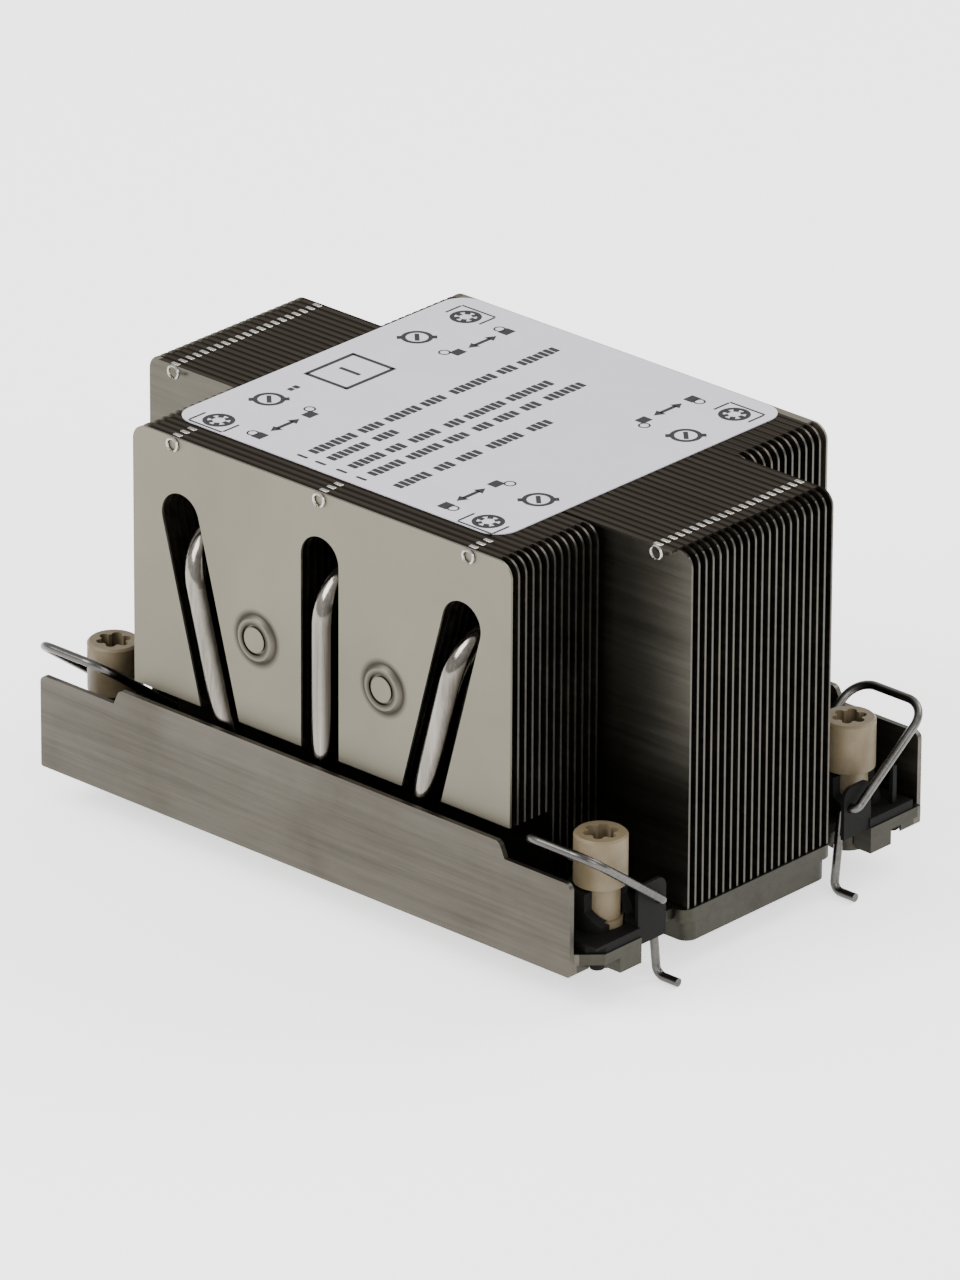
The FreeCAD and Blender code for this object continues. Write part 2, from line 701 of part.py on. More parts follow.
def post(x0, x1, y0):
    """Upright pivot post with a rounded top."""
    top = BASE_TOP + POST_HEIGHT
    block = box(x0, x1, y0, y0 + POST_WIDTH, BASE_TOP, top)
    tops = []
    for edge in block.Edges:
        bounds = edge.BoundBox
        if bounds.ZMin > top - 1e-3 and bounds.YLength < 1e-3:
            tops.append(edge)
    return block.makeFillet(POST_ROUND, tops)


def pivot_cheeks(drop):
    """Inner and outer cheek that carry the wire's two pivots."""
    y0 = PIVOT_Y - CHEEK_EDGE
    inner_x = WIRE_IN + WIRE_D / 2 + CHEEK_GAP
    outer_x = CHEEK_X + CHEEK_OUT
    apron = box(CHEEK_X, outer_x, y0, LUG_Y - PEG_CLEAR, BASE_TOP - drop, BASE_TOP + SLAB)
    return [
        post(CHEEK_X, outer_x, y0),
        post(inner_x, inner_x + CHEEK_IN, y0),
        apron,
    ]


def pivot_bore():
    """Hole through both cheeks for the wire."""
    radius = WIRE_D / 2 + PIVOT_FIT
    start = Vector(WIRE_IN, PIVOT_Y, PIVOT_Z)
    return Part.makeCylinder(radius, WIRE_OUT - WIRE_IN, start, Vector(1, 0, 0))


def upright_tab():
    """Slim tab that stands beside the nut at two of the corners."""
    x0 = NUT_X + TAB_X
    y0 = NUT_Y + TAB_Y
    return box(x0, x0 + TAB, y0, y0 + TAB_WIDTH, BASE_TOP, BASE_TOP + TAB_HEIGHT)


def make_retainer(chamfered):
    """Plastic retainer that keeps a nut and a wire lock on the base."""
    peg_top = BASE_TOP + SLAB
    peg_bottom = FLOOR_BOTTOM - PEG_DROP
    parts = [
        retainer_slab(chamfered),
        nut_cup(),
        rod(PEG_D / 2, NUT_X + PEG_X, NUT_Y + PEG_Y, peg_bottom, peg_top),
    ]
    if chamfered:
        parts += pivot_cheeks(CHEEK_DROP)
    else:
        parts += pivot_cheeks(PLAIN_DROP)
        parts.append(upright_tab())
    return fuse(parts).cut([cup_bore(), pivot_bore()])


# ---- wire locks ---------------------------------------------------------------------
def swung(x, reach, degrees):
    """Point of the wire at a distance from its pivot, at an angle above the horizontal."""
    angle = math.radians(degrees)
    return Vector(x, PIVOT_Y + reach * math.cos(angle), PIVOT_Z + reach * math.sin(angle))


def make_wire():
    """Bent spring wire: bail around the nut, outer pivot, hook leg and hook foot."""
    hook_angle = WIRE_ANGLE - HOOK_ANGLE
    points = [
        swung(HOOK_X + HOOK_FOOT, HOOK_REACH, hook_angle),
        swung(HOOK_X, HOOK_REACH, hook_angle),
        swung(HOOK_X, 0, hook_angle),
        swung(WIRE_OUT, 0, WIRE_ANGLE),
        swung(WIRE_OUT, WIRE_REACH, WIRE_ANGLE),
        swung(WIRE_IN, WIRE_REACH, WIRE_ANGLE),
        swung(WIRE_IN, 0, WIRE_ANGLE),
        swung(WIRE_IN + PIN_END, 0, WIRE_ANGLE),
    ]
    radii = [HOOK_BEND, WIRE_BEND, WIRE_BEND, WIRE_CORNER, WIRE_CORNER, WIRE_BEND]
    return tube_along(rounded_path(points, radii), WIRE_D / 2)


CORNERS = {
    "front_right": (1, -1),
    "front_left": (-1, -1),
    "rear_right": (1, 1),
    "rear_left": (-1, 1),
}


def write(name, shape):
    """Save one named piece."""
    shape.exportStep("parts/" + name + ".step")
    print(name, len(shape.Solids), "solids", round(shape.Volume, 1), "mm3", shape.isValid())


def main():
    """Build and save every piece."""
    os.makedirs("parts", exist_ok=True)
    write("base", make_base())
    write("contact_plate", make_contact_plate())
    names = ("heat_pipe_left", "heat_pipe_centre", "heat_pipe_right")
    for name, (foot_x, lean) in zip(names, pipe_stations()):
        write(name, make_pipe(foot_x, lean))
    write("front_end_fin", make_front_end_fin())
    write("front_fins", make_front_fins())
    write("wing_fins", make_wing_fins())
    write("rear_fins", make_rear_fins())
    write("rear_end_fin", make_rear_end_fin())
    write("label", make_label())
    nut = make_nut()
    wire = make_wire()
    for corner, (side_x, side_y) in CORNERS.items():
        retainer = make_retainer(side_x != side_y)
        write("nut_" + corner, at_corner(nut, side_x, side_y))
        write("retainer_" + corner, at_corner(retainer, side_x, side_y))
        write("lock_wire_" + corner, at_corner(wire, side_x, side_y))


main()
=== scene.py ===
"""Looks of a passive server heatsink: fin stack, heat pipes, walled base, nuts and wire locks."""

import json
import logging
import math
from dataclasses import dataclass, field, replace
from enum import Enum
from typing import Callable, Union

import bpy
from mathutils import Matrix, Vector

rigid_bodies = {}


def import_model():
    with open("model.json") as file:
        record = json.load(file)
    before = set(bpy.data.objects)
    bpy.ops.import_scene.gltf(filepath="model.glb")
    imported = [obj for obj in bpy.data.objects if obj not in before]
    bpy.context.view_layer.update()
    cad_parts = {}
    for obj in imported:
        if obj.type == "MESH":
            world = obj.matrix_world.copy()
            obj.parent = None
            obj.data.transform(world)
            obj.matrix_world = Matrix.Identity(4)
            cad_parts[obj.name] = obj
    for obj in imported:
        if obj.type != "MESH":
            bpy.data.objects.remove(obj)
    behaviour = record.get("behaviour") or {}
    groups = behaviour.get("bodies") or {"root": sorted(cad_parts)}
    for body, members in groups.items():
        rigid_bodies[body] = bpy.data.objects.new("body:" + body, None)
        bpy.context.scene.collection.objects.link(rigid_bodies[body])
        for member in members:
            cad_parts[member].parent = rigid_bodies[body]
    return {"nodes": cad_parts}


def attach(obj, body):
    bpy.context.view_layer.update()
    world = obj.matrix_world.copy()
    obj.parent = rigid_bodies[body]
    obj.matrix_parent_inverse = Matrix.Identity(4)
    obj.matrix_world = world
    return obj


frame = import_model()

Triple = tuple[float, float, float]
Pair = tuple[float, float]
Value = Union[bpy.types.NodeSocket, float, tuple[float, ...]]

LOG = logging.getLogger("heatsink")
MM = 0.001
FIN_PITCH = 1.6             # millimetres, as every size below without MM
WHITE = (1, 1, 1, 1)
ROOT = "cooler"
CORNERS = ("front_right", "front_left", "rear_right", "rear_left")
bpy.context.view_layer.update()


class Grain(Enum):
    """Direction in which a metal surface was rolled, drawn or brushed."""

    ALONG_X = (0.03, 1.0, 1.0)
    ALONG_Y = (1.0, 0.03, 1.0)
    ALONG_Z = (1.0, 1.0, 0.03)
    NONE = (1.0, 1.0, 1.0)


class Effect(Enum):
    """Shader effects that several finishes share."""

    STREAKS = "Drawn streaks"
    CLOUDS = "Handling clouds"
    PORES = "Moulded pores"
    FACING = "Faces that look one way"
    # painted shade in the hollows of the pressed rings
    RINGS = "Painted shade in pressed rings"
    LIP_SHADE = "Shade at each lip's edge"


NUMBER = "NodeSocketFloat"
VECTOR = "NodeSocketVector"
EFFECT_INPUTS: dict[Effect, dict[str, str]] = {
    Effect.STREAKS: {"Stretch": VECTOR, "Fineness": NUMBER},
    Effect.CLOUDS: {"Fineness": NUMBER, "Sharpness": NUMBER},
    Effect.PORES: {"Fineness": NUMBER},
    Effect.FACING: {"Way": VECTOR, "Threshold": NUMBER, "Softness": NUMBER},
    Effect.RINGS: {"Aside": NUMBER, "Level": NUMBER, "Radius": NUMBER, "Width": NUMBER},
    Effect.LIP_SHADE: {"Pitch": NUMBER, "Start": NUMBER},
}
EFFECT_OUTPUTS: dict[Effect, tuple[str, ...]] = {
    Effect.STREAKS: ("Mask", "Height"),
    Effect.CLOUDS: ("Mask",),
    Effect.PORES: ("Height",),
    Effect.FACING: ("Mask",),
    Effect.RINGS: ("Mask",),
    Effect.LIP_SHADE: ("Mask",),
}
BROAD_SHARE = 0.12          # fineness of the broad streaks, as a share of the fine ones'
FINE_WEIGHT = 0.6           # what the fine streaks count for, beside the broad ones
STREAK_LEVELS = (0.36, 0.64)
CLOUD_REACH = 0.25          # half the span of the clouds' levels at a sharpness of one
LIP_LEVELS = (0.35, 0.95)
LOOKS_UP = 0.7              # upward share of a normal from which a face counts as a top
BUMP_DISTANCE = 0.2 * MM


class NodeSheet:
    """Adds and links the nodes of one material or effect."""

    def __init__(self, tree: bpy.types.NodeTree) -> None:
        """Starts on a tree.

        Args:
            tree: the node tree to build in.
        """
        self.tree = tree

    def add(self, kind: str, settings: dict[str, str] | None = None,
            **inputs: Value) -> bpy.types.Node:
        """Adds one node.

        Args:
            kind: the node's type name.
            settings: properties of the node itself.
            inputs: values or sockets for its inputs, underscores for spaces in the names.

        Returns:
            The new node.
        """
        node = self.tree.nodes.new(kind)
        for name, value in (settings or {}).items():
            setattr(node, name, value)
        for name, value in inputs.items():
            self.feed(node.inputs[name.replace("_", " ")], value)
        return node

    def spot(self) -> bpy.types.NodeSocket:
        """Finds where on the piece the shaded point lies.

        Returns:
            The socket of its coordinates.
        """
        return self.add("ShaderNodeTexCoord").outputs["Object"]

    def feed(self, socket: bpy.types.NodeSocket, value: Value) -> None:
        """Links a socket, or sets its value.

        Args:
            socket: the input to feed.
            value: another node's output, or a plain value.
        """
        if isinstance(value, bpy.types.NodeSocket):
            self.tree.links.new(value, socket)
        else:
            socket.default_value = value

    def math(self, operation: str, first: Value, second: Value = 0.0,
             clamp: bool = False) -> bpy.types.NodeSocket:
        """Joins two numbers.

        Args:
            operation: the Math node's operation.
            first: a socket or a number.
            second: a socket or a number.
            clamp: keeps the result between nought and one.

        Returns:
            The result's socket.
        """
        node = self.tree.nodes.new("ShaderNodeMath")
        node.operation = operation
        node.use_clamp = clamp
        self.feed(node.inputs[0], first)
        self.feed(node.inputs[1], second)
        return node.outputs[0]

    def blend(self, factor: Value, first: Value, second: Value,
              mode: str = "MIX") -> bpy.types.NodeSocket:
        """Mixes two colours.

        Args:
            factor: share of the second colour.
            first: a colour or a socket.
            second: a colour or a socket.
            mode: how the two are mixed.

        Returns:
            The mixed colour's socket.
        """
        node = self.tree.nodes.new("ShaderNodeMix")
        node.data_type = "RGBA"
        node.blend_type = mode
        self.feed(node.inputs["Factor"], factor)
        self.feed(node.inputs[6], first)
        self.feed(node.inputs[7], second)
        return node.outputs[2]

    def band(self, value: Value, low: Value, high: Value, to_low: float = 0.0,
             to_high: float = 1.0) -> bpy.types.NodeSocket:
        """Maps a range onto another and clamps it.

        Args:
            value: the socket to map.
            low: value that gives to_low, a number or a socket.
            high: value that gives to_high, a number or a socket.
            to_low: result at the low end.
            to_high: result at the high end.

        Returns:
            The result's socket.
        """
        node = self.add("ShaderNodeMapRange")
        for name, number in zip(("Value", "From Min", "From Max", "To Min", "To Max"),
                                (value, low, high, to_low, to_high)):
            self.feed(node.inputs[name], number)
        return node.outputs["Result"]


class EffectShelf:
    """Builds each shared effect once and places it in the finishes."""

    def __init__(self) -> None:
        """Starts with no effect built."""
        self._built: dict[Effect, bpy.types.NodeTree] = {}
        self._makers: dict[Effect, Callable[[NodeSheet, bpy.types.Node, bpy.types.Node], None]] = {
            Effect.STREAKS: self._streaks,
            Effect.CLOUDS: self._clouds,
            Effect.PORES: self._pores,
            Effect.FACING: self._facing,
            Effect.RINGS: self._ring_shade,
            Effect.LIP_SHADE: self._lip_shade,
        }

    def place(self, sheet: NodeSheet, effect: Effect, **inputs: Value) -> bpy.types.Node:
        """Puts an effect in a finish.

        Args:
            sheet: the finish's nodes.
            effect: which effect.
            inputs: its own values.

        Returns:
            The group node.
        """
        if effect not in self._built:
            self._built[effect] = self._build(effect)
        node = sheet.tree.nodes.new("ShaderNodeGroup")
        node.node_tree = self._built[effect]
        for name, value in inputs.items():
            sheet.feed(node.inputs[name.replace("_", " ")], value)
        return node

    def _build(self, effect: Effect) -> bpy.types.NodeTree:
        """Makes the effect's node group.

        Args:
            effect: which effect.

        Returns:
            The finished group.
        """
        tree = bpy.data.node_groups.new(effect.value, "ShaderNodeTree")
        for name, kind in EFFECT_INPUTS[effect].items():
            tree.interface.new_socket(name, in_out="INPUT", socket_type=kind)
        for name in EFFECT_OUTPUTS[effect]:
            tree.interface.new_socket(name, in_out="OUTPUT", socket_type=NUMBER)
        sheet = NodeSheet(tree)
        self._makers[effect](sheet, sheet.add("NodeGroupInput"), sheet.add("NodeGroupOutput"))
        return tree

    @staticmethod
    def _streaks(sheet: NodeSheet, given: bpy.types.Node, out: bpy.types.Node) -> None:
        """Long fine scratches along the stretch.

        Args:
            sheet: the group's nodes.
            given: the group's inputs.
            out: the group's outputs.
        """
        stretched = sheet.add("ShaderNodeVectorMath", {"operation": "MULTIPLY"})
        sheet.feed(stretched.inputs[0], sheet.spot())
        sheet.feed(stretched.inputs[1], given.outputs["Stretch"])
        fine = sheet.add("ShaderNodeTexNoise", Vector=stretched.outputs[0],
                         Scale=given.outputs["Fineness"], Detail=6.0, Roughness=0.75)
        broad_scale = sheet.math("MULTIPLY", given.outputs["Fineness"], BROAD_SHARE)
        broad = sheet.add("ShaderNodeTexNoise", Vector=stretched.outputs[0], Scale=broad_scale,
                          Detail=3.0, Roughness=0.6)
        both = sheet.math("ADD", sheet.math("MULTIPLY", fine.outputs[0], FINE_WEIGHT),
                          sheet.math("MULTIPLY", broad.outputs[0], 1 - FINE_WEIGHT))
        sheet.feed(out.inputs["Mask"], sheet.band(both, *STREAK_LEVELS))
        sheet.feed(out.inputs["Height"], both)

    @staticmethod
    def _clouds(sheet: NodeSheet, given: bpy.types.Node, out: bpy.types.Node) -> None:
        """Soft uneven patches, as fingers and storage leave.

        Args:
            sheet: the group's nodes.
            given: the group's inputs.
            out: the group's outputs.
        """
        noise = sheet.add("ShaderNodeTexNoise", Vector=sheet.spot(), Detail=5.0, Roughness=0.55,
                          Scale=given.outputs["Fineness"], Distortion=0.6)
        reach = sheet.math("DIVIDE", CLOUD_REACH, given.outputs["Sharpness"])
        low = sheet.math("SUBTRACT", 0.5, reach)
        high = sheet.math("ADD", 0.5, reach)
        sheet.feed(out.inputs["Mask"], sheet.band(noise.outputs[0], low, high))

    @staticmethod
    def _pores(sheet: NodeSheet, given: bpy.types.Node, out: bpy.types.Node) -> None:
        """Fine even grain, as a mould or a blast leaves.

        Args:
            sheet: the group's nodes.
            given: the group's inputs.
            out: the group's outputs.
        """
        spot = sheet.spot()
        cells = sheet.add("ShaderNodeTexVoronoi", Vector=spot, Scale=given.outputs["Fineness"])
        noise = sheet.add("ShaderNodeTexNoise", Vector=spot, Scale=given.outputs["Fineness"],
                          Detail=3.0)
        sheet.feed(out.inputs["Height"], sheet.math("ADD", cells.outputs["Distance"],
                                                    noise.outputs[0]))

    @staticmethod
    def _facing(sheet: NodeSheet, given: bpy.types.Node, out: bpy.types.Node) -> None:
        """Mask of the faces that look one way or straight the other way.

        Args:
            sheet: the group's nodes.
            given: the group's inputs.
            out: the group's outputs.
        """
        normal = sheet.add("ShaderNodeTexCoord").outputs["Normal"]
        along = sheet.add("ShaderNodeVectorMath", {"operation": "DOT_PRODUCT"})
        sheet.feed(along.inputs[0], normal)
        sheet.feed(along.inputs[1], given.outputs["Way"])
        turned = sheet.math("ABSOLUTE", along.outputs["Value"])
        over = sheet.math("SUBTRACT", turned, given.outputs["Threshold"])
        mask = sheet.math("DIVIDE", over, given.outputs["Softness"], clamp=True)
        sheet.feed(out.inputs["Mask"], mask)

    @staticmethod
    def _lip_shade(sheet: NodeSheet, given: bpy.types.Node, out: bpy.types.Node) -> None:
        """Painted shade: a dark line in the gap where one fin's lip meets the next, on the faces
        that look up.

        Args:
            sheet: the group's nodes.
            given: the group's inputs.
            out: the group's outputs.
        """
        here = sheet.add("ShaderNodeTexCoord")
        along = sheet.add("ShaderNodeSeparateXYZ", Vector=here.outputs["Object"]).outputs["Y"]
        rise = sheet.add("ShaderNodeSeparateXYZ", Vector=here.outputs["Normal"]).outputs["Z"]
        steps = sheet.math("DIVIDE", sheet.math("SUBTRACT", along, given.outputs["Start"]),
                           given.outputs["Pitch"])
        share = sheet.math("FRACT", steps)
        off_middle = sheet.math("ABSOLUTE", sheet.math("SUBTRACT", share, 0.5))
        gap = sheet.math("MULTIPLY", off_middle, 2.0)
        mask = sheet.math("MULTIPLY", sheet.band(gap, *LIP_LEVELS),
                          sheet.math("GREATER_THAN", rise, LOOKS_UP))
        sheet.feed(out.inputs["Mask"], mask)

    @staticmethod
    def _ring_shade(sheet: NodeSheet, given: bpy.types.Node, out: bpy.types.Node) -> None:
        """Soft dark line around two centres that lie at the same level, one on each side: painted
        shade in the hollows of the pressed rings.

        Args:
            sheet: the group's nodes.
            given: the group's inputs.
            out: the group's outputs.
        """
        split = sheet.add("ShaderNodeSeparateXYZ", Vector=sheet.spot())
        across = sheet.math("SUBTRACT", sheet.math("ABSOLUTE", split.outputs["X"]),
                            given.outputs["Aside"])
        above = sheet.math("SUBTRACT", split.outputs["Z"], given.outputs["Level"])
        reach = sheet.math("SQRT", sheet.math("ADD", sheet.math("MULTIPLY", across, across),
                                              sheet.math("MULTIPLY", above, above)))
        off = sheet.math("ABSOLUTE", sheet.math("SUBTRACT", reach, given.outputs["Radius"]))
        mask = sheet.math("SUBTRACT", 1.0, sheet.math("DIVIDE", off, given.outputs["Width"]),
                          clamp=True)
        sheet.feed(out.inputs["Mask"], mask)


@dataclass(frozen=True)
class LipShade:
    """Shade that comes back with every fin, in millimetres."""

    pitch: float = FIN_PITCH
    start: float = 0.0
    dark: Triple = (0.004, 0.0035, 0.003)


@dataclass(frozen=True)
class FacingTintAndShade:
    """Another colour for the faces that look one way: on the pipes' sides a painted dark
    reflection, on the fins' lips a painted shade.
    """

    way: Triple
    colour: Triple
    threshold: float = 0.6
    softness: float = 0.01


@dataclass(frozen=True)
class RingShade:
    """Painted shade: a dark line in the hollows around the pressed rings of an end fin, in
    millimetres.
    """

    radius: float
    width: float
    aside: float = 13.3
    level: float = 36.2


@dataclass(frozen=True)
class Finish:
    """A surface: its colours, shine and grain."""

    name: str
    colour: Triple
    shade: Triple
    metallic: float = 1.0
    roughness: float = 0.4
    roughness_spread: float = 0.12
    specular: float = 0.5
    slant_tint: Triple = (1.0, 1.0, 1.0)
    grain: Grain = Grain.NONE
    grain_fineness: float = 900.0
    grain_depth: float = 0.1
    grain_contrast: Pair = (0.88, 1.08)
    cloud_fineness: float = 45.0
    cloud_sharpness: float = 1.2
    pore_fineness: float = 0.0
    pore_depth: float = 0.15
    faces: tuple[FacingTintAndShade, ...] = ()
    rings: tuple[RingShade, ...] = ()
    lips: LipShade | None = None
    # colour of the painted shade in the pressed rings
    ring_shade_colour: Triple = (0.035, 0.03, 0.025)
    floor_half: float = 0.0
    floor_colour: Triple = (0.1, 0.095, 0.075)

    def build(self, shelf: EffectShelf) -> bpy.types.Material:
        """Makes the material.

        Args:
            shelf: the shared effects.

        Returns:
            The finished material.
        """
        material = bpy.data.materials.new(self.name)
        material.use_nodes = True
        sheet = NodeSheet(material.node_tree)
        shader = material.node_tree.nodes["Principled BSDF"]
        sheet.feed(shader.inputs["Metallic"], self.metallic)
        sheet.feed(shader.inputs["Specular IOR Level"], self.specular)
        sheet.feed(shader.inputs["Specular Tint"], (*self.slant_tint, 1))
        clouds = shelf.place(sheet, Effect.CLOUDS, Fineness=self.cloud_fineness,
                             Sharpness=self.cloud_sharpness)
        spread = clouds.outputs["Mask"]
        height = None
        tone = sheet.blend(spread, (*self.colour, 1), (*self.shade, 1))
        tone = self._faces(shelf, sheet, tone)
        if self.grain is not Grain.NONE:
            streaks = shelf.place(sheet, Effect.STREAKS, Stretch=self.grain.value,
                                  Fineness=self.grain_fineness)
            spread = streaks.outputs["Mask"]
            height = (streaks.outputs["Height"], self.grain_depth)
            darker = sheet.band(spread, 0.0, 1.0, *self.grain_contrast)
            tone = sheet.blend(1.0, tone, self._grey(sheet, darker), "MULTIPLY")
        if self.pore_fineness:
            pores = shelf.place(sheet, Effect.PORES, Fineness=self.pore_fineness)
            height = (pores.outputs["Height"], self.pore_depth)
        # painted shade: dark lines in the hollows of the pressed rings
        for ring in self.rings:
            line = shelf.place(sheet, Effect.RINGS, Aside=ring.aside * MM, Level=ring.level * MM,
                               Radius=ring.radius * MM, Width=ring.width * MM)
            tone = sheet.blend(line.outputs["Mask"], tone, (*self.ring_shade_colour, 1))
        half = self.roughness_spread / 2
        dull = sheet.band(spread, 0.0, 1.0, self.roughness - half, self.roughness + half)
        sheet.feed(shader.inputs["Base Color"], tone)
        sheet.feed(shader.inputs["Roughness"], dull)
        if height:
            bump = sheet.add("ShaderNodeBump", Height=height[0], Strength=height[1],
                             Distance=BUMP_DISTANCE)
            sheet.feed(shader.inputs["Normal"], bump.outputs["Normal"])
        return material

    def _faces(self, shelf: EffectShelf, sheet: NodeSheet,
               tone: bpy.types.NodeSocket) -> bpy.types.NodeSocket:
        """Colours the floor, tints the faces that look one way, which on the pipes and the fin
        lips is painted shade, and paints shade in the gaps between the lips.

        Args:
            shelf: the shared effects.
            sheet: the finish's nodes.
            tone: the colour so far.

        Returns:
            The colour's socket.
        """
        if self.floor_half:
            tone = self._floor(sheet, tone)
        # faces that look one way get another colour; on the pipes and the fin lips it is painted
        # shade
        for face in self.faces:
            facing = shelf.place(sheet, Effect.FACING, Way=face.way, Threshold=face.threshold,
                                 Softness=face.softness)
            tone = sheet.blend(facing.outputs["Mask"], tone, (*face.colour, 1))
        if self.lips:
            line = shelf.place(sheet, Effect.LIP_SHADE, Pitch=self.lips.pitch * MM,
                               Start=self.lips.start * MM)
            tone = sheet.blend(line.outputs["Mask"], tone, (*self.lips.dark, 1))
        return tone

    def _floor(self, sheet: NodeSheet, tone: bpy.types.NodeSocket) -> bpy.types.NodeSocket:
        """Darkens the milled floor between the walls.

        Args:
            sheet: the finish's nodes.
            tone: the walls' colour.

        Returns:
            The colour's socket.
        """
        aside = sheet.add("ShaderNodeSeparateXYZ", Vector=sheet.spot()).outputs["Y"]
        inside = sheet.math("LESS_THAN", sheet.math("ABSOLUTE", aside), self.floor_half * MM)
        return sheet.blend(inside, tone, (*self.floor_colour, 1))

    @staticmethod
    def _grey(sheet: NodeSheet, value: bpy.types.NodeSocket) -> bpy.types.NodeSocket:
        """Turns a number into a grey of that brightness.

        Args:
            sheet: the finish's nodes.
            value: the brightness.

        Returns:
            The grey's socket.
        """
        grey = sheet.add("ShaderNodeCombineColor", Red=value, Green=value, Blue=value)
        return grey.outputs["Color"]


WALL_ALUMINIUM = Finish("Brushed_base_aluminium", (0.1, 0.091, 0.075), (0.072, 0.065, 0.053),
                        roughness=0.44, grain=Grain.ALONG_X, grain_contrast=(0.68, 1.16),
                        floor_half=37.4, floor_colour=(0.04, 0.038, 0.03))
REAR_SHEET = Finish("Plain_rear_fin_sheet", (0.172, 0.16, 0.125), (0.152, 0.141, 0.109),
                    roughness=0.5, grain=Grain.ALONG_X, grain_depth=0.03,
                    grain_contrast=(0.93, 1.04))
FRONT_SHEET = replace(REAR_SHEET, name="Pressed_front_fin_sheet",
                      rings=(RingShade(4.1, 0.95), RingShade(2.6, 0.75)))
# The fins' cut edges, which look along X, are a darker grey; the lips, which look up, are darker
# still, a painted shade, and LipShade paints shade in the gaps between them.
FIN_SHEET = Finish("Fin_sheet", (0.1, 0.094, 0.076), (0.078, 0.073, 0.06), roughness=0.34,
                   grain=Grain.ALONG_X, grain_depth=0.05, grain_contrast=(0.75, 1.15),
                   faces=(FacingTintAndShade((1, 0, 0), (0.078, 0.073, 0.065)),
                          FacingTintAndShade((0, 0, 1), (0.05, 0.044, 0.037), 0.7)),
                   lips=LipShade(), slant_tint=(0.6, 0.575, 0.55))
# Painted reflection: the sides of the pipes that look along X are painted dark, standing in for
# the dark fins they mirror.
PIPE_NICKEL = Finish("Bright_nickel_on_pipes", (0.27, 0.25, 0.22), (0.19, 0.175, 0.15),
                     roughness=0.15, roughness_spread=0.12, grain=Grain.ALONG_Z,
                     grain_fineness=1100.0, grain_depth=0.1, grain_contrast=(0.5, 1.25),
                     faces=(FacingTintAndShade((1, 0, 0), (0.035, 0.03, 0.024), 0.35, 0.45),))
PLATE_NICKEL = Finish("Ground_nickel_plate", (0.6, 0.57, 0.5), (0.5, 0.47, 0.42),
                      roughness=0.3, grain=Grain.ALONG_Y)
LABEL_FILM = Finish("Silver-grey_label_film", (0.56, 0.545, 0.6), (0.52, 0.505, 0.56),
                    metallic=0.1, roughness=0.5, cloud_fineness=120.0,
                    pore_fineness=2500.0, pore_depth=0.05)
PRINT_INK = Finish("Dark_print", (0.012, 0.012, 0.015), (0.02, 0.02, 0.024), metallic=0.0,
                   roughness=0.6, specular=0.2)
# Painted highlight: the tongues and loops are folded from the fin sheet but coloured much lighter,
# a painted glint.
TONGUE_PAINTED_GLINT = Finish("Folded_tongues_painted_glint", (0.46, 0.44, 0.4), (0.28, 0.265, 0.24),
                      roughness=0.22, grain=Grain.ALONG_X, grain_depth=0.05)
NUT_PLASTIC = Finish("Beige_nut_plastic", (0.15, 0.117, 0.068), (0.11, 0.084, 0.048), metallic=0.0,
                     roughness=0.45, specular=0.3, cloud_fineness=220.0, pore_fineness=5000.0)
BLACK_PLASTIC = Finish("Black_retainer_plastic", (0.003, 0.0028, 0.0026), (0.005, 0.0047, 0.0043),
                       metallic=0.0, roughness=0.65, specular=0.09, pore_fineness=4000.0)
SPRING_STEEL = Finish("Drawn_spring_steel", (0.12, 0.115, 0.108), (0.065, 0.062, 0.058),
                      roughness=0.28, grain=Grain.ALONG_X, grain_fineness=1500.0,
                      grain_contrast=(0.7, 1.2))


def corners_of(node: str) -> tuple[Vector, Vector]:
    """Lowest and highest corner of a CAD piece.

    Args:
        node: the piece's name.

    Returns:
        Both corners, in millimetres.
    """
    spots = [vertex.co for vertex in frame["nodes"][node].data.vertices]
    low = Vector([min(spot[axis] for spot in spots) for axis in range(3)])
    high = Vector([max(spot[axis] for spot in spots) for axis in range(3)])
    return low / MM, high / MM


def place(piece: bpy.types.Object, body: str = ROOT) -> None:
    """Fixes a new piece to a body.

    Args:
        piece: the new piece.
        body: the body it moves with.
    """
    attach(piece, body)


@dataclass
class Dresser:
    """Gives CAD pieces and new pieces their finishes."""

    shelf: EffectShelf
    built: dict[str, bpy.types.Material] = field(default_factory=dict)

    def dress(self, piece: bpy.types.Object, finish: Finish) -> None:
        """Puts one finish all over a piece.

        Args:
            piece: the mesh object.
            finish: what it is finished in.
        """
        if finish.name not in self.built:
            self.built[finish.name] = finish.build(self.shelf)
        piece.data.materials.clear()
        piece.data.materials.append(self.built[finish.name])
        LOG.info("%s: %s", piece.name, finish.name)


@dataclass
class FinStack:
    """Folded fins and the two plain outer fins."""

    fins: tuple[str, ...] = ("front_fins", "wing_fins", "rear_fins")

    def build(self, dresser: Dresser) -> None:
        """Dresses the stack.

        Args:
            dresser: the finishes.
        """
        for name in self.fins:
            dresser.dress(frame["nodes"][name], FIN_SHEET)
        dresser.dress(frame["nodes"]["front_end_fin"], FRONT_SHEET)
        dresser.dress(frame["nodes"]["rear_end_fin"], REAR_SHEET)


@dataclass
class Base:
    """Walled plate with the contact plate under it and the pipes in it."""

    pipes: tuple[str, ...] = ("heat_pipe_left", "heat_pipe_centre", "heat_pipe_right")

    def build(self, dresser: Dresser) -> None:
        """Dresses the base, the plate and the pipes.

        Args:
            dresser: the finishes.
        """
        dresser.dress(frame["nodes"]["base"], WALL_ALUMINIUM)
        dresser.dress(frame["nodes"]["contact_plate"], PLATE_NICKEL)
        for name in self.pipes:
            dresser.dress(frame["nodes"][name], PIPE_NICKEL)


